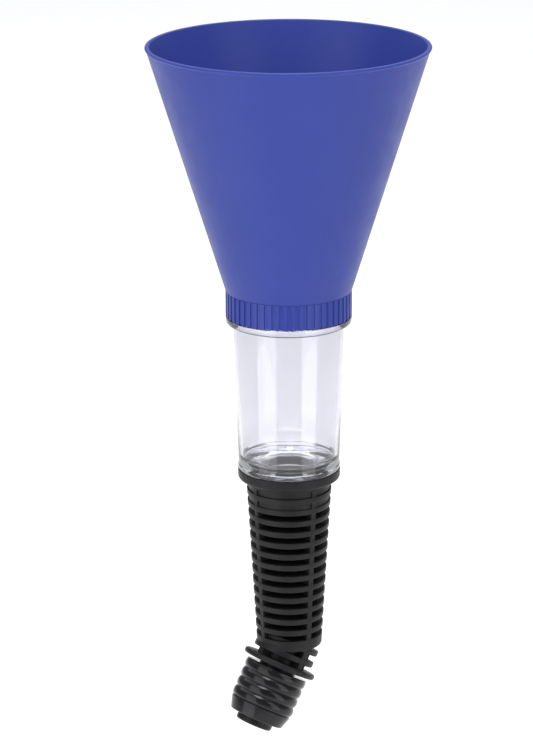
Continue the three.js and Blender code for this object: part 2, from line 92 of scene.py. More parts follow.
# ---------- studio ----------
# A wide pale floor well below the outlet, under a big soft light that hangs mostly behind the funnel,
# a small one high in front that reaches into the cone, and two tall softboxes in front, one on each
# side, whose reflections stand in the clear cup.
FLOOR_DROP = 0.45
FLOOR_HALF = 30
FLOOR_PAINT = {
    "Base Color": (0.93, 0.93, 0.935, 1),
    "Roughness": 1,
    "Specular IOR Level": 0,
    "Emission Color": (1, 1, 1, 1),
    "Emission Strength": 0.1,
}
OVERHEAD_SIZE = (8.0, 8.0)
OVERHEAD_PLACE = (0, 2.3, 3.4)
OVERHEAD_GLOW = 1.15
FRONT_TOP_SIZE = (1.2, 1.2)
FRONT_TOP_PLACE = (0, -0.9, 2.6)
FRONT_TOP_GLOW = 8.0
LEFT_BOX = {"azimuth": -50, "size": (1.05, 1.7), "glow": 1.7}
RIGHT_BOX = {"azimuth": 46, "size": (0.78, 1.7), "glow": 1.7}
BOX_REACH = 1.3
BOX_RISE = 0.3
AIR_COLOUR = (0.97, 0.98, 1, 1)
AIR_STRENGTH = 0.36

floor_mesh = bpy.data.meshes.new("studio_floor")
floor_level = cad_low.z - FLOOR_DROP
floor_corners = [
    (x * FLOOR_HALF, y * FLOOR_HALF, floor_level)
    for x, y in ((-1, -1), (1, -1), (1, 1), (-1, 1))
]
floor_mesh.from_pydata(floor_corners, [], [(0, 1, 2, 3)])
studio_floor = bpy.data.objects.new("studio_floor", floor_mesh)
scene.collection.objects.link(studio_floor)
floor_paint = bpy.data.materials.new("floor_paint")
floor_paint.use_nodes = True
paint_inputs = floor_paint.node_tree.nodes["Principled BSDF"].inputs
for label, value in FLOOR_PAINT.items():
    paint_inputs[label].default_value = value
floor_mesh.materials.append(floor_paint)

CAMERA_TURN = Matrix.Rotation(CAMERA_AZIMUTH, 4, "Z")
middle = (cad_low + cad_high) / 2


def softbox(name, place, size, glow):
    """A soft area light seen from the camera's side: a tall one faces the middle, a square one hangs."""
    data = bpy.data.lights.new(name, "AREA")
    data.shape = "RECTANGLE"
    data.size, data.size_y = size
    data.energy = glow * math.pi * size[0] * size[1]
    lamp = bpy.data.objects.new(name, data)
    scene.collection.objects.link(lamp)
    lamp.location = CAMERA_TURN @ Vector(place)
    upright = size[1] > size[0]
    aim = Vector((middle.x, middle.y, lamp.location.z)) if upright else lamp.location * Vector((1, 1, 0))
    lamp.rotation_euler = (aim - lamp.location).to_track_quat("-Z", "Y").to_euler()


softbox("overhead_softbox", OVERHEAD_PLACE, OVERHEAD_SIZE, OVERHEAD_GLOW)
softbox("front_top_softbox", FRONT_TOP_PLACE, FRONT_TOP_SIZE, FRONT_TOP_GLOW)
for name, box in (("left_softbox", LEFT_BOX), ("right_softbox", RIGHT_BOX)):
    bearing = math.radians(box["azimuth"])
    place = (BOX_REACH * math.sin(bearing), -BOX_REACH * math.cos(bearing), BOX_RISE)
    softbox(name, place, box["size"], box["glow"])
world = bpy.data.worlds.new("studio_air")
world.use_nodes = True
world.node_tree.nodes["Background"].inputs["Color"].default_value = AIR_COLOUR
world.node_tree.nodes["Background"].inputs["Strength"].default_value = AIR_STRENGTH
scene.world = world

# ---------- spout ----------
# The spout is one black polypropylene moulding: a flange with a threaded socket that the cup screws
# into, a tapered tube of eleven flat ribs joined by four fins, a solid block at the 30 degree bend, a
# locating disc and the plain outlet tube. The ribs' lower edges are softer than their upper ones.
SPOUT_LENGTH = 95.25
SPOUT_FLANGE = (25.85, 5.3)  # radius, thickness
SPOUT_TOP_RADIUS = 21.8
SPOUT_BEND_RADIUS = 16.65
SPOUT_BORE = 7.45
SPOUT_CORE = 10.0
SLOT_PITCH = 6.04
SLOT_HEIGHT = 3.0
SLOT_FOOT = 5.9  # of the lowest slot, over the bend's centre
RIB_ROWS = 11
RECESS_DEPTH = 0.8
FIN_THICKNESS = 2.8
FIN_COUNT = 4
FIN_SINK = 0.05  # of the fins' faces in the ribs'
BEND_ANGLE = math.radians(30)
BLOCK_DROP = 0.1  # of the straight tube past the bend's centre
OUTLET_RIBS = (-0.9, 5.3)  # starts along the outlet
OUTLET_RIB = (16.1, 3.15)  # radius, thickness
DISC = (19.35, 11.2, 14.2)  # radius, start and end along the outlet
OUTLET_TUBE = (9.55, 47.0)  # radius, end along the outlet
SOCKET = (13.9, 12.3)  # radius, depth
NECK_THREAD = {"pitch": 3.2, "height": 0.9, "turns": 2}
SOCKET_THREAD_START = 3.5  # over the socket's floor
THREAD_SINK = 0.3
THREAD_SHARES = (0.24, 0.13)  # half the ridge at root and crest, in pitches
THREAD_FADED = 0.25  # share of its height that a ridge starts with
SPIGOT = (9.75, 4.3)  # radius, depth of its top
RING_DEPTH = 2.8  # of the neck ring's top
ROUND_STEPS = 5
TURNED_SEGMENTS = 144
SMOOTH_UP_TO = math.radians(32)

spout_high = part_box("spout")[1]
bend_centre = Vector((axis_x, 0, spout_high.z - SPOUT_LENGTH * MM))
MAIN_AXIS = Matrix.Translation(bend_centre) @ Matrix.Scale(MM, 4)
OUTLET_AXIS = MAIN_AXIS @ Matrix.Rotation(BEND_ANGLE, 4, "Y") @ Matrix.Rotation(math.pi, 4, "X")


def new_piece(name, mesh):
    """A named object for a mesh, linked to the scene."""
    piece = bpy.data.objects.new(name, mesh)
    scene.collection.objects.link(piece)
    return piece


def rounded_outline(corners):
    """A closed outline of (radius, height, rounding) corners, with an arc at each rounded one."""
    points = []
    for i, (r, z, rounding) in enumerate(corners):
        here = Vector((r, z))
        if rounding == 0:
            points.append(here)
            continue
        before = (Vector(corners[i - 1][:2]) - here).normalized()
        after = (Vector(corners[(i + 1) % len(corners)][:2]) - here).normalized()
        half = before.angle(after) / 2
        centre = here + (before + after).normalized() * rounding / math.sin(half)
        start = here + before * rounding / math.tan(half) - centre
        end = here + after * rounding / math.tan(half) - centre
        swing = math.pi - 2 * half
        for k in range(ROUND_STEPS + 1):
            share = k / ROUND_STEPS
            mix = start * math.sin((1 - share) * swing) + end * math.sin(share * swing)
            points.append(centre + mix / math.sin(swing))
    return points


def turned(name, outline, place=MAIN_AXIS, segments=TURNED_SEGMENTS):
    """A closed outline of (radius, height) points turned about an axis into a closed solid."""
    bm = bmesh.new()
    rings = []
    for r, z in outline:
        if r < 1e-6:
            rings.append([bm.verts.new((0, 0, z))])
            continue
        angles = [2 * math.pi * k / segments for k in range(segments)]
        rings.append([bm.verts.new((r * math.cos(a), r * math.sin(a), z)) for a in angles])
    for i, ring in enumerate(rings):
        above = rings[(i + 1) % len(rings)]
        for k in range(segments):
            n = (k + 1) % segments
            lower = [ring[k % len(ring)], ring[n % len(ring)]]
            upper = [above[n % len(above)], above[k % len(above)]]
            face = list(dict.fromkeys(lower + upper))
            if len(face) > 2:
                bm.faces.new(face)
    bmesh.ops.recalc_face_normals(bm, faces=bm.faces)
    bm.transform(place)
    mesh = bpy.data.meshes.new(name)
    bm.to_mesh(mesh)
    bm.free()
    return new_piece(name, mesh)


def lofted(name, sections, place=MAIN_AXIS):
    """A closed solid through rings of equally many (x, y, z) points, capped at both ends."""
    bm = bmesh.new()
    rings = [[bm.verts.new(p) for p in section] for section in sections]
    count = len(sections[0])
    for low, high in zip(rings, rings[1:]):
        for k in range(count):
            n = (k + 1) % count
            bm.faces.new((low[k], low[n], high[n], high[k]))
    bm.faces.new(rings[0])
    bm.faces.new(rings[-1])
    bmesh.ops.recalc_face_normals(bm, faces=bm.faces)
    bm.transform(place)
    mesh = bpy.data.meshes.new(name)
    bm.to_mesh(mesh)
    bm.free()
    return new_piece(name, mesh)


def combine(piece, others, operation):
    """Joins solids to a piece or cuts them from it, and removes them."""
    for other in others:
        cut = piece.modifiers.new(other.name, "BOOLEAN")
        cut.operation = operation
        cut.solver = "MANIFOLD"
        cut.object = other
    bake(piece)
    for other in others:
        bpy.data.objects.remove(other)


def bake(piece):
    """Replaces a piece's mesh and modifiers by the mesh that they make."""
    evaluated = piece.evaluated_get(bpy.context.evaluated_depsgraph_get())
    mesh = bpy.data.meshes.new_from_object(evaluated)
    piece.modifiers.clear()
    piece.data = mesh


def finish_piece(piece, name, material, edge=SMOOTH_UP_TO):
    """Merges a piece's doubles, smooths it up to its edges and gives it its material."""
    bm = bmesh.new()
    bm.from_mesh(piece.data)
    bmesh.ops.remove_doubles(bm, verts=bm.verts, dist=2e-6)
    bmesh.ops.dissolve_degenerate(bm, edges=bm.edges, dist=1e-6)
    bm.to_mesh(piece.data)
    bm.free()
    piece.name = name
    piece.data.name = name
    piece.data.materials.clear()
    piece.data.materials.append(material)
    piece.data.shade_smooth()
    piece.data.set_sharp_from_angle(angle=edge)


def geometry_tree(name, inputs):
    """An empty Geometry Nodes tree with named inputs and one geometry output."""
    tree = bpy.data.node_groups.new(name, "GeometryNodeTree")
    for label, kind in inputs:
        tree.interface.new_socket(label, in_out="INPUT", socket_type=kind)
    tree.interface.new_socket("Geometry", in_out="OUTPUT", socket_type="NodeSocketGeometry")
    return tree, tree.nodes.new("NodeGroupInput"), tree.nodes.new("NodeGroupOutput")


def grown(name, tree, values):
    """A plain mesh object of what a Geometry Nodes tree makes from these input values."""
    piece = new_piece(name, bpy.data.meshes.new(name))
    modifier = piece.modifiers.new(name, "NODES")
    modifier.node_group = tree
    for item in tree.interface.items_tree:
        if item.in_out == "INPUT" and item.name in values:
            modifier[item.identifier] = values[item.name]
    bake(piece)
    return piece


def rib_rows_tree():
    """Rows of one ring up an axis, each a little wider than the one below."""
    tree, given, out = geometry_tree("rib_rows", (
        ("Ring", "NodeSocketObject"),
        ("Rows", "NodeSocketInt"),
        ("Pitch", "NodeSocketFloat"),
        ("First Size", "NodeSocketFloat"),
        ("Size Step", "NodeSocketFloat"),
        ("Plastic", "NodeSocketMaterial"),
    ))
    node, link = tree.nodes.new, tree.links.new
    ring = node("GeometryNodeObjectInfo")
    step = node("ShaderNodeCombineXYZ")
    line = node("GeometryNodeMeshLine")
    row = node("GeometryNodeInputIndex")
    size = node("ShaderNodeMath")
    size.operation = "MULTIPLY_ADD"
    scale = node("ShaderNodeCombineXYZ")
    scale.inputs["Z"].default_value = 1
    place = node("GeometryNodeInstanceOnPoints")
    real = node("GeometryNodeRealizeInstances")
    paint = node("GeometryNodeSetMaterial")
    link(given.outputs["Ring"], ring.inputs["Object"])
    link(given.outputs["Pitch"], step.inputs["Z"])
    link(given.outputs["Rows"], line.inputs["Count"])
    link(step.outputs["Vector"], line.inputs["Offset"])
    link(row.outputs["Index"], size.inputs[0])
    link(given.outputs["Size Step"], size.inputs[1])
    link(given.outputs["First Size"], size.inputs[2])
    link(size.outputs["Value"], scale.inputs["X"])
    link(size.outputs["Value"], scale.inputs["Y"])
    link(line.outputs["Mesh"], place.inputs["Points"])
    link(ring.outputs["Geometry"], place.inputs["Instance"])
    link(scale.outputs["Vector"], place.inputs["Scale"])
    link(place.outputs["Instances"], real.inputs["Geometry"])
    link(real.outputs["Geometry"], paint.inputs["Geometry"])
    link(given.outputs["Plastic"], paint.inputs["Material"])
    link(paint.outputs["Geometry"], out.inputs["Geometry"])
    return tree


def skin_group():
    """A shader group for moulded surfaces: slow colour drift, fine grain height and patchy polish."""
    group = bpy.data.node_groups.new("moulded_skin", "ShaderNodeTree")
    for label, kind, value in (
        ("Colour", "NodeSocketColor", (0.5, 0.5, 0.5, 1)),
        ("Drift Colour", "NodeSocketColor", (0.5, 0.5, 0.5, 1)),
        ("Drift Size", "NodeSocketFloat", 30),
        ("Smooth", "NodeSocketFloat", 0.3),
        ("Rough", "NodeSocketFloat", 0.5),
        ("Grain Size", "NodeSocketFloat", 1500),
    ):
        group.interface.new_socket(label, in_out="INPUT", socket_type=kind).default_value = value
    for label, kind in (
        ("Colour", "NodeSocketColor"),
        ("Roughness", "NodeSocketFloat"),
        ("Height", "NodeSocketFloat"),
    ):
        group.interface.new_socket(label, in_out="OUTPUT", socket_type=kind)
    node, link = group.nodes.new, group.links.new
    given, out = node("NodeGroupInput"), node("NodeGroupOutput")
    place = node("ShaderNodeTexCoord")
    drift, grain, polish = (node("ShaderNodeTexNoise") for _ in range(3))
    drift.inputs["Detail"].default_value = 4
    grain.inputs["Detail"].default_value = 3
    polish.inputs["Scale"].default_value = 90
    polish.inputs["Detail"].default_value = 8
    polish.inputs["Roughness"].default_value = 0.65
    for noise in (drift, grain, polish):
        link(place.outputs["Object"], noise.inputs["Vector"])
    link(given.outputs["Drift Size"], drift.inputs["Scale"])
    link(given.outputs["Grain Size"], grain.inputs["Scale"])
    spread = node("ShaderNodeMapRange")
    spread.inputs["From Min"].default_value = 0.35
    spread.inputs["From Max"].default_value = 0.65
    link(drift.outputs["Fac"], spread.inputs["Value"])
    mix = node("ShaderNodeMix")
    mix.data_type = "RGBA"
    link(spread.outputs["Result"], mix.inputs["Factor"])
    # The Mix node names its colour sockets A and B more than once, so they are linked by place.
    link(given.outputs["Colour"], mix.inputs[6])
    link(given.outputs["Drift Colour"], mix.inputs[7])
    link(mix.outputs[2], out.inputs["Colour"])
    patchy = node("ShaderNodeMapRange")
    patchy.inputs["From Min"].default_value = 0.3
    patchy.inputs["From Max"].default_value = 0.7
    link(polish.outputs["Fac"], patchy.inputs["Value"])
    link(given.outputs["Smooth"], patchy.inputs["To Min"])
    link(given.outputs["Rough"], patchy.inputs["To Max"])
    link(patchy.outputs["Result"], out.inputs["Roughness"])
    link(grain.outputs["Fac"], out.inputs["Height"])
    return group


moulded_skin = skin_group()


def moulded(name, skin, bump, shader_values):
    """A material on the moulded skin: group inputs, bump (strength, distance) and plain shader values."""
    material = bpy.data.materials.new(name)
    material.use_nodes = True
    nodes = material.node_tree.nodes
    links = material.node_tree.links
    shader = nodes["Principled BSDF"]
    group = nodes.new("ShaderNodeGroup")
    group.node_tree = moulded_skin
    for label, value in skin.items():
        group.inputs[label].default_value = value
    dent = nodes.new("ShaderNodeBump")
    dent.inputs["Strength"].default_value, dent.inputs["Distance"].default_value = bump
    links.new(group.outputs["Colour"], shader.inputs["Base Color"])
    links.new(group.outputs["Roughness"], shader.inputs["Roughness"])
    links.new(group.outputs["Height"], dent.inputs["Height"])
    links.new(dent.outputs["Normal"], shader.inputs["Normal"])
    for label, value in shader_values.items():
        shader.inputs[label].default_value = value
    return material


black_plastic = moulded(
    "black_polypropylene",
    {
        "Colour": (0.008, 0.008, 0.009, 1),
        "Drift Colour": (0.012, 0.012, 0.013, 1),
        "Drift Size": 60,
        "Smooth": 0.34,
        "Rough": 0.5,
        "Grain Size": 1700,
    },
    (0.25, 0.0001),
    {"IOR": 1.49, "Specular IOR Level": 0.18},
)


def tube_radius(z):
    """Radius of the tapered ribbed tube at a height over the bend's centre."""
    return SPOUT_BEND_RADIUS + (SPOUT_TOP_RADIUS - SPOUT_BEND_RADIUS) * z / (SPOUT_LENGTH - SPOUT_FLANGE[1])


def spout_tube():
    """Block at the bend, core, socket body with its two shallow slots, and flange."""
    socket_foot = SLOT_FOOT + RIB_ROWS * SLOT_PITCH + SLOT_HEIGHT
    corners = [
        (0, -BLOCK_DROP, 0),
        (tube_radius(-BLOCK_DROP), -BLOCK_DROP, 0.7),
        (tube_radius(SLOT_FOOT), SLOT_FOOT, 0.3),
        (SPOUT_CORE, SLOT_FOOT, 0),
        (SPOUT_CORE, socket_foot, 0),
        (tube_radius(socket_foot), socket_foot, 0.6),
    ]
    for row in (1, 2):
        low = SLOT_FOOT + (RIB_ROWS + row) * SLOT_PITCH
        floor = tube_radius(low) - RECESS_DEPTH
        corners += [
            (tube_radius(low), low, 0.25),
            (floor, low, 0.15),
            (floor, low + SLOT_HEIGHT, 0.15),
            (tube_radius(low + SLOT_HEIGHT), low + SLOT_HEIGHT, 0.35),
        ]
    flange_foot = SPOUT_LENGTH - SPOUT_FLANGE[1]
    corners += [
        (SPOUT_TOP_RADIUS, flange_foot, 0.3),
        (SPOUT_FLANGE[0], flange_foot, 1.6),
        (SPOUT_FLANGE[0], SPOUT_LENGTH, 0.25),
        (0, SPOUT_LENGTH, 0),
    ]
    return turned("spout_tube", rounded_outline(corners))


def spout_ribs():
    """The eleven flat ribs, grown from one ring by the rib_rows tree."""
    foot = SLOT_FOOT + SLOT_HEIGHT
    rib = SLOT_PITCH - SLOT_HEIGHT
    widest = tube_radius(foot + (RIB_ROWS - 1) * SLOT_PITCH)
    flare = tube_radius(rib) - tube_radius(0)
    ring = turned("rib_ring", rounded_outline([
        (SPOUT_CORE - 0.1, foot, 0),
        (widest, foot, 0.75),
        (widest + flare, foot + rib, 0.3),
        (SPOUT_CORE - 0.1, foot + rib, 0),
    ]), Matrix.Scale(MM, 4))
    slope = (tube_radius(SLOT_PITCH) - tube_radius(0)) / widest
    ribs = grown("spout_ribs", rib_rows_tree(), {
        "Ring": ring,
        "Rows": RIB_ROWS,
        "Pitch": SLOT_PITCH * MM,
        "First Size": tube_radius(foot) / widest,
        "Size Step": slope,
        "Plastic": black_plastic,
    })
    ribs.data.transform(Matrix.Translation(bend_centre))
    bpy.data.objects.remove(ring)
    return ribs


def fin_section(radius, z, rounding=0.35):
    """A fin's cross-section at a height: a bar from inside the core to its rounded outer face."""
    half = FIN_THICKNESS / 2
    root = SPOUT_CORE - 1.2
    points = rounded_outline([
        (root, -half, 0), (radius, -half, rounding), (radius, half, rounding), (root, half, 0),
    ])
    return [(x, y, z) for x, y in points]


def fins(name, place, low, high, radius_at, mitre):
    """Four fins along an axis; the first, outside the bend, runs on to the mitre."""
    made = []
    for i in range(FIN_COUNT):
        foot = low - mitre if i == 0 else low
        turn = Matrix.Rotation(2 * math.pi * i / FIN_COUNT, 4, "Z")
        sections = [fin_section(radius_at(foot), foot), fin_section(radius_at(high), high)]
        made.append(lofted(f"{name}_{i}", sections, place @ turn))
    return made


def ball(name, radius):
    """A ball at the bend's centre, which rounds off where two round bars meet there."""
    steps = 24
    angles = [math.pi * (k / steps - 0.5) for k in range(steps + 1)]
    arc = [(radius * math.cos(a), radius * math.sin(a)) for a in angles]
    arc[0] = (0, -radius)
    arc[-1] = (0, radius)
    return turned(name, arc)


def round_bar(name, radius, low, high, place=MAIN_AXIS, rounding=0):
    """A plain round bar along an axis."""
    corners = [(0, low, 0), (radius, low, rounding), (radius, high, rounding), (0, high, 0)]
    return turned(name, rounded_outline(corners), place)


def thread_ridge(name, root, crest, pitch, turns, start):
    """A right-hand thread ridge that fades in and out over its first and last sixth of a turn."""
    per_turn = 72
    steps = round(turns * per_turn)
    fade = per_turn / 6
    foot_share, top_share = THREAD_SHARES
    sections = []
    for i in range(steps + 1):
        angle = 2 * math.pi * i / per_turn
        grow = min(1, i / fade, (steps - i) / fade)
        grow = grow * grow * (3 - 2 * grow)
        top = root + (crest - root) * (THREAD_FADED + (1 - THREAD_FADED) * grow)
        middle = start + pitch * i / per_turn
        shape = [(root, -foot_share), (top, -top_share), (top, top_share), (root, foot_share)]
        sections.append([
            (r * math.cos(angle), r * math.sin(angle), middle + share * pitch) for r, share in shape
        ])
    return lofted(name, sections)


def build_spout():
    """All of the spout's solids joined, then its bore, socket and socket thread cut and added."""
    half_tan = math.tan(BEND_ANGLE / 2)
    spout = spout_tube()
    keep_end = OUTLET_RIBS[1] + OUTLET_RIB[1] - 0.4
    keep = round_bar("bend_keep", SPOUT_LENGTH, -2 * SPOUT_LENGTH, keep_end, OUTLET_AXIS)
    tube_top = SPOUT_LENGTH - SPOUT_FLANGE[1]
    tube_fins = fins("tube_fin", MAIN_AXIS, 0, tube_top + 1, lambda z: tube_radius(z) - FIN_SINK,
                     SPOUT_BEND_RADIUS * half_tan)
    combine(spout, [spout_ribs(), *tube_fins], "UNION")
    combine(spout, [keep], "INTERSECT")
    ribs = [round_bar(f"outlet_rib_{i}", OUTLET_RIB[0], low, low + OUTLET_RIB[1], OUTLET_AXIS, 0.6)
            for i, low in enumerate(OUTLET_RIBS)]
    disc = round_bar("disc", DISC[0], DISC[1], DISC[2], OUTLET_AXIS, 1.25)
    core = round_bar("outlet_core", SPOUT_CORE, 0, DISC[1] + 1, OUTLET_AXIS)
    tube = turned("outlet_tube", rounded_outline([
        (0, 0.5, 0), (OUTLET_TUBE[0], 0.5, 0), (OUTLET_TUBE[0], OUTLET_TUBE[1], 1.2), (0, OUTLET_TUBE[1], 0),
    ]), OUTLET_AXIS)
    outlet_fins = fins("outlet_fin", OUTLET_AXIS, 0, DISC[1] + 1, lambda z: OUTLET_RIB[0] - FIN_SINK,
                       OUTLET_RIB[0] * half_tan)
    combine(spout, [ball("bend_ball", SPOUT_CORE), core, *ribs, *outlet_fins, disc, tube], "UNION")
    socket = turned("socket", rounded_outline([
        (SPIGOT[0], SPOUT_LENGTH - SOCKET[1], 0.3),
        (SOCKET[0], SPOUT_LENGTH - SOCKET[1], 0.3),
        (SOCKET[0], SPOUT_LENGTH + 1, 0),
        (0, SPOUT_LENGTH + 1, 0),
        (0, SPOUT_LENGTH - SPIGOT[1], 0),
        (SPIGOT[0], SPOUT_LENGTH - SPIGOT[1], 0.3),
    ]))
    bore = round_bar("bore", SPOUT_BORE, 0, SPOUT_LENGTH + 1)
    outlet_bore = round_bar("outlet_bore", SPOUT_BORE, 0, OUTLET_TUBE[1] + 1, OUTLET_AXIS)
    combine(spout, [socket, bore, ball("bore_ball", SPOUT_BORE), outlet_bore], "DIFFERENCE")
    ridge = thread_ridge(
        "socket_thread", SOCKET[0] + THREAD_SINK, SOCKET[0] - NECK_THREAD["height"],
        NECK_THREAD["pitch"], NECK_THREAD["turns"], SPOUT_LENGTH - SOCKET[1] + SOCKET_THREAD_START,
    )
    combine(spout, [ridge], "UNION")
    return spout


spout = build_spout()
finish_piece(spout, "ribbed_spout", black_plastic)
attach(spout, "spout")
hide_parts("spout")

# ---------- outlet sleeve ----------
# A glossy moulded rubber sleeve is pushed on the outlet tube: four rounded rings that grip the filler
# neck, then a smooth taper that guides it in. It stops just short of the tube's end.
SLEEVE_TOP = 15.85
SLEEVE_END = 43.3
SLEEVE_BORE = 9.95
SLEEVE_CREST = 16.65
SLEEVE_VALLEY = 15.75
SLEEVE_RINGS = 4
SLEEVE_RING_PITCH = 5.2
SLEEVE_RING_FOOT = 15.55
SLEEVE_TAPER = (16.2, 14.15)  # radius at its start and end


def sleeve_outline():
    """Bore, top edge, four round-backed rings with narrow valleys, taper and rounded end."""
    points = []
    steps = 16
    for i in range(SLEEVE_RINGS * steps + 1):
        share = i / steps
        z = SLEEVE_RING_FOOT + share * SLEEVE_RING_PITCH
        if z < SLEEVE_TOP + 0.5:
            continue
        across = abs(2 * (share - math.floor(share)) - 1)
        if i == SLEEVE_RINGS * steps:
            across = 1
        lift = 1 - across ** 2.4
        radius = SLEEVE_VALLEY + (SLEEVE_CREST - SLEEVE_VALLEY) * lift
        points.append((radius, z))
    last = points[-1][1]
    top = rounded_outline([
        (SLEEVE_BORE, SLEEVE_TOP, 0.3),
        (points[0][0], SLEEVE_TOP, 0.45),
        (points[0][0], SLEEVE_TOP + 1.2, 0),
        (SLEEVE_BORE, SLEEVE_TOP + 1.2, 0),
    ])[:-2]
    end = rounded_outline([
        (SLEEVE_TAPER[0], last + 0.35, 0.15),
        (SLEEVE_TAPER[1] - 0.05, SLEEVE_END, 0.7),
        (SLEEVE_BORE, SLEEVE_END, 0.3),
        (SLEEVE_BORE, last, 0),
    ])[:-1]
    return top + [Vector(p) for p in points] + end


black_rubber = moulded(
    "glossy_black_rubber",
    {
        "Colour": (0.004, 0.004, 0.005, 1),
        "Drift Colour": (0.007, 0.007, 0.0085, 1),
        "Drift Size": 90,
        "Smooth": 0.09,
        "Rough": 0.2,
        "Grain Size": 900,
    },
    (0.2, 0.00012),
    {"IOR": 1.52, "Specular IOR Level": 0.28},
)
sleeve = turned("outlet_sleeve_rubber", sleeve_outline(), OUTLET_AXIS)
finish_piece(sleeve, "ribbed_sleeve", black_rubber, math.radians(45))
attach(sleeve, "sleeve")
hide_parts("outlet_sleeve")

# ---------- neck ring ----------
# A pale ring lies on the spigot inside the socket. Its pale colour is a painted highlight: the ring stands
# in for the bright crescent of light that shows down the cup's hole.
NECK_RING = (7.5, 10.1, 1.2)  # inner and outer radius, thickness
# Pale washer colour, also used on the neck ring, where it paints the bright crescent highlight.
pale_seal_and_painted_highlight = moulded(
    "pale_elastomer_and_painted_highlight",
    {
        "Colour": (0.86, 0.86, 0.84, 1),
        "Drift Colour": (0.8, 0.8, 0.78, 1),
        "Drift Size": 200,
        "Smooth": 0.4,
        "Rough": 0.55,
        "Grain Size": 2500,
    },
    (0.15, 0.00008),
    {"IOR": 1.42},
)
ring_top = SPOUT_LENGTH - RING_DEPTH
neck_ring = turned("neck_ring_seal", rounded_outline([
    (NECK_RING[0], ring_top - NECK_RING[2], 0.3),
    (NECK_RING[1], ring_top - NECK_RING[2], 0.3),
    (NECK_RING[1], ring_top, 0.3),
    (NECK_RING[0], ring_top, 0.3),
]))
finish_piece(neck_ring, "spigot_ring", pale_seal_and_painted_highlight)
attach(neck_ring, "seal")
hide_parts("neck_ring")

# ---------- clear cup ----------
# The cup is one clear styrene acrylonitrile moulding: a threaded mouth, a flange that the funnel's
# collar meets, a slightly tapered wall, a band at the foot, a dished floor with a hole in its middle
# and a threaded neck that screws into the spout. It is polished inside and out.
CUP_FOOT = 0.3  # over the spout's flange
CUP_HEIGHT = 79.7
CUP_RADII = (25.75, 27.9)  # at the foot and under the flange
CUP_WALL = 2.0
CUP_FLANGE = (31.55, 3.5)  # radius, thickness
CUP_MOUTH = (27.95, 9.1)  # radius, height over the flange
CUP_BAND = (2.3, 0.25)  # height, step in to the wall
CUP_SEGMENTS = 180
NECK_BORE = 10.4
NECK_OUTSIDE = 12.6
NECK_LENGTH = 12.0
MOUTH_THREAD = {"pitch": 4, "height": 1.1, "turns": 1}
MOUTH_THREAD_START = CUP_FOOT + 3.6
NECK_THREAD_START = 1.6

clear_plastic = moulded(
    "clear_styrene_acrylonitrile",
    {
        "Colour": (0.835, 0.835, 0.88, 1),
        "Drift Colour": (0.82, 0.82, 0.87, 1),
        "Drift Size": 40,
        "Smooth": 0.015,
        "Rough": 0.05,
        "Grain Size": 60,
    },
    (0.05, 0.0004),
    {"IOR": 1.5, "Transmission Weight": 0.975},
)


def cup_outline():
    """Neck, foot, band, wall, flange and mouth outside; wall, dish and hole inside."""
    base = SPOUT_LENGTH + CUP_FOOT
    flange_top = base + CUP_HEIGHT
    flange_under = flange_top - CUP_FLANGE[1]
    inside_foot = CUP_RADII[0] - CUP_WALL
    inside_top = CUP_RADII[1] - CUP_WALL
    return rounded_outline([
        (NECK_BORE, SPOUT_LENGTH - NECK_LENGTH, 0.4),
        (NECK_OUTSIDE, SPOUT_LENGTH - NECK_LENGTH, 0.4),
        (NECK_OUTSIDE, base, 0),
        (CUP_RADII[0], base, 0.5),
        (CUP_RADII[0], base + CUP_BAND[0], 0.25),
        (CUP_RADII[0] - CUP_BAND[1], base + CUP_BAND[0] + 0.4, 0.15),
        (CUP_RADII[1], flange_under, 0.3),
        (CUP_FLANGE[0] - 0.25, flange_under, 1.3),
        (CUP_FLANGE[0], flange_top - 1.4, 0.3),
        (CUP_FLANGE[0], flange_top, 0.2),
        (CUP_MOUTH[0], flange_top, 0),
        (CUP_MOUTH[0], flange_top + CUP_MOUTH[1], 0.4),
        (inside_top, flange_top + CUP_MOUTH[1], 0.4),
        (inside_top, flange_under, 1.0),
        (inside_foot, base + 7.6, 3),
        (inside_foot - 0.9, base + 5.6, 0.6),
        (21.3, base + 5.0, 0.5),
        (15.2, base + 2.2, 0.5),
        (14.5, base + 1.4, 0.3),
        (NECK_BORE, base + 0.9, 0.3),
    ])


cup = turned("cup", cup_outline(), segments=CUP_SEGMENTS)
cup_threads = [
    thread_ridge(name, wall - THREAD_SINK, wall + thread["height"], thread["pitch"], thread["turns"], start)
    for name, wall, thread, start in (
        ("mouth_thread", CUP_MOUTH[0], MOUTH_THREAD, SPOUT_LENGTH + CUP_HEIGHT + MOUTH_THREAD_START),
        ("neck_thread", NECK_OUTSIDE, NECK_THREAD, SPOUT_LENGTH - NECK_LENGTH + NECK_THREAD_START),
    )
]
combine(cup, cup_threads, "UNION")
finish_piece(cup, "clear_cup", clear_plastic)
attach(cup, "cup")
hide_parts("sight_cup")

# ---------- funnel gasket ----------
# A flat washer of the same pale elastomer inside the collar, which the cup's mouth presses against
# the step at the foot of the cone.
gasket_low, gasket_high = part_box("funnel_gasket")
gasket_level = (gasket_low.z - bend_centre.z) / MM
gasket_thickness = (gasket_high.z - gasket_low.z) / MM
gasket_radius = (gasket_high.x - gasket_low.x) / 2 / MM - 0.05
gasket = turned("gasket", rounded_outline([
    (CUP_RADII[1] - CUP_WALL, gasket_level, 0.25),
    (gasket_radius, gasket_level, 0.25),
    (gasket_radius, gasket_level + gasket_thickness, 0.25),
    (CUP_RADII[1] - CUP_WALL, gasket_level + gasket_thickness, 0.25),
]))
finish_piece(gasket, "collar_washer", pale_seal_and_painted_highlight)
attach(gasket, "washer")
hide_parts("funnel_gasket")

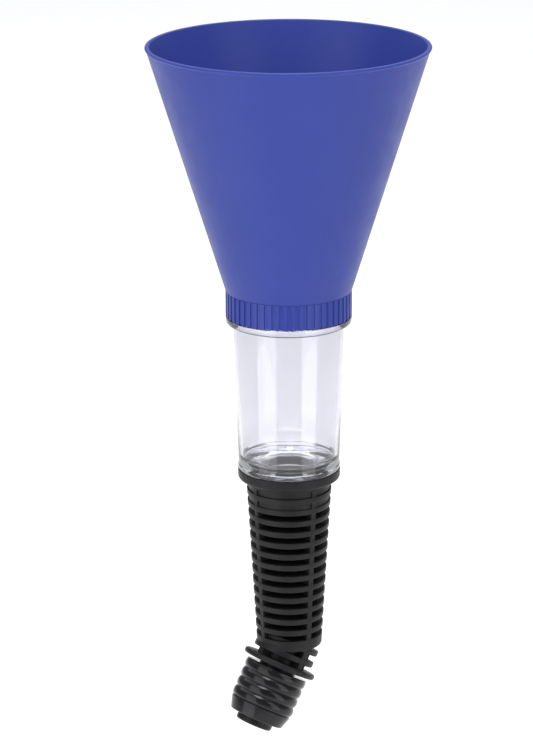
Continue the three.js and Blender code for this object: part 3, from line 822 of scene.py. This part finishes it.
# ---------- funnel ----------
# The funnel is one blue polypropylene moulding: a straight cone with a thin rounded lip, and a collar
# at its foot with fifty grip ribs outside and a thread inside. The ribs run out under the cone's foot.
COLLAR_HEIGHT = 12.8
RIM_RADIUS = (rim_high.x - rim_low.x) / 2 / MM
FUNNEL_WALL = 2.1
COLLAR_FOOT = (rim_low.z - bend_centre.z) / MM
COLLAR_RADIUS = 31.55
COLLAR_BORE = 29.45
COLLAR_THROAT = CUP_RADII[1] - CUP_WALL
COLLAR_LEDGE = 2.2
CONE_FOOT = COLLAR_FOOT + COLLAR_HEIGHT
RIM_LEVEL = (rim_high.z - bend_centre.z) / MM
GRIP_RIBS = 50
GRIP_DEPTH = 0.6
GRIP_WIDTH = 2.5
GRIP_BACK_SHARE = 0.86
GRIP_ROUNDING = 0.32
CONE_SHARE = 0.985
COLLAR_TURNS = 1.5
COLLAR_THREAD_START = 1.6
FUNNEL_SEGMENTS = 200

blue_plastic = moulded(
    "blue_polypropylene",
    {
        "Colour": (0.0195, 0.038, 0.254, 1),
        "Drift Colour": (0.0225, 0.0415, 0.267, 1),
        "Drift Size": 22,
        "Smooth": 0.36,
        "Rough": 0.48,
        "Grain Size": 1400,
    },
    (0.12, 0.0001),
    {"IOR": 1.49, "Specular IOR Level": 0.3},
)


def funnel_outline():
    """Collar and cone outside, lip, cone and throat inside, and the step that the washer bears on."""
    lean = RIM_RADIUS - COLLAR_RADIUS - 0.25
    return rounded_outline([
        (COLLAR_BORE, COLLAR_FOOT, 0.3),
        (COLLAR_RADIUS - GRIP_DEPTH, COLLAR_FOOT, 0.3),
        (COLLAR_RADIUS - GRIP_DEPTH, CONE_FOOT - 0.2, 0.2),
        (COLLAR_RADIUS, CONE_FOOT + 0.3, 0.5),
        (COLLAR_RADIUS + lean * CONE_SHARE, CONE_FOOT + (RIM_LEVEL - CONE_FOOT) * CONE_SHARE, 0.6),
        (RIM_RADIUS, RIM_LEVEL - 1.0, 0.7),
        (RIM_RADIUS - 0.3, RIM_LEVEL, 0.8),
        (RIM_RADIUS - FUNNEL_WALL - 0.1, RIM_LEVEL, 0.7),
        (COLLAR_RADIUS - FUNNEL_WALL, CONE_FOOT + 0.4, 1.0),
        (COLLAR_THROAT, CONE_FOOT - 1.0, 0.6),
        (COLLAR_THROAT, CONE_FOOT - COLLAR_LEDGE, 0.3),
        (COLLAR_BORE, CONE_FOOT - COLLAR_LEDGE, 0.2),
    ])


def grip_ribs_tree():
    """Copies of one rib round an axis, all facing outwards."""
    tree, given, out = geometry_tree("grip_ribs", (
        ("Rib", "NodeSocketObject"),
        ("Count", "NodeSocketInt"),
        ("Plastic", "NodeSocketMaterial"),
    ))
    node, link = tree.nodes.new, tree.links.new
    rib = node("GeometryNodeObjectInfo")
    line = node("GeometryNodeMeshLine")
    line.inputs["Offset"].default_value = (0, 0, 0)
    number = node("GeometryNodeInputIndex")
    share = node("ShaderNodeMath")
    share.operation = "DIVIDE"
    turn = node("ShaderNodeMath")
    turn.operation = "MULTIPLY"
    turn.inputs[1].default_value = 2 * math.pi
    about_z = node("ShaderNodeCombineXYZ")
    rotation = node("FunctionNodeEulerToRotation")
    place = node("GeometryNodeInstanceOnPoints")
    real = node("GeometryNodeRealizeInstances")
    paint = node("GeometryNodeSetMaterial")
    link(given.outputs["Rib"], rib.inputs["Object"])
    link(given.outputs["Count"], line.inputs["Count"])
    link(number.outputs["Index"], share.inputs[0])
    link(given.outputs["Count"], share.inputs[1])
    link(share.outputs["Value"], turn.inputs[0])
    link(turn.outputs["Value"], about_z.inputs["Z"])
    link(about_z.outputs["Vector"], rotation.inputs["Euler"])
    link(line.outputs["Mesh"], place.inputs["Points"])
    link(rib.outputs["Geometry"], place.inputs["Instance"])
    link(rotation.outputs["Rotation"], place.inputs["Rotation"])
    link(place.outputs["Instances"], real.inputs["Geometry"])
    link(real.outputs["Geometry"], paint.inputs["Geometry"])
    link(given.outputs["Plastic"], paint.inputs["Material"])
    link(paint.outputs["Geometry"], out.inputs["Geometry"])
    return tree


def grip_rib_section(z, height, width):
    """A rib's cross-section at a height: a low rounded back standing on the collar."""
    foot = COLLAR_RADIUS - GRIP_DEPTH - 0.5
    back = COLLAR_RADIUS - GRIP_DEPTH + height
    half = width / 2
    edge = half * GRIP_BACK_SHARE
    points = rounded_outline([
        (foot, -half, 0), (back, -edge, GRIP_ROUNDING), (back, edge, GRIP_ROUNDING), (foot, half, 0),
    ])
    return [(x, y, z) for x, y in points]


def grip_ribs():
    """The fifty grip ribs, each fading out at its top under the cone."""
    rib = lofted("grip_rib", [
        grip_rib_section(COLLAR_FOOT, GRIP_DEPTH - 0.25, GRIP_WIDTH - 0.3),
        grip_rib_section(COLLAR_FOOT + 0.3, GRIP_DEPTH - 0.02, GRIP_WIDTH),
        grip_rib_section(CONE_FOOT - 0.9, GRIP_DEPTH - 0.02, GRIP_WIDTH),
        grip_rib_section(CONE_FOOT + 0.05, GRIP_DEPTH - 0.04, GRIP_WIDTH * 1.25),
    ], Matrix.Scale(MM, 4))
    ribs = grown("grip_ribs", grip_ribs_tree(), {"Rib": rib, "Count": GRIP_RIBS, "Plastic": blue_plastic})
    ribs.data.transform(Matrix.Translation(bend_centre))
    bpy.data.objects.remove(rib)
    return ribs


funnel = turned("funnel_cone", funnel_outline(), segments=FUNNEL_SEGMENTS)
collar_thread = thread_ridge(
    "collar_thread", COLLAR_BORE + THREAD_SINK, COLLAR_BORE - MOUTH_THREAD["height"],
    MOUTH_THREAD["pitch"], COLLAR_TURNS, COLLAR_FOOT + COLLAR_THREAD_START,
)
combine(funnel, [grip_ribs(), collar_thread], "UNION")
finish_piece(funnel, "blue_funnel", blue_plastic)
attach(funnel, "funnel")
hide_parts("funnel")
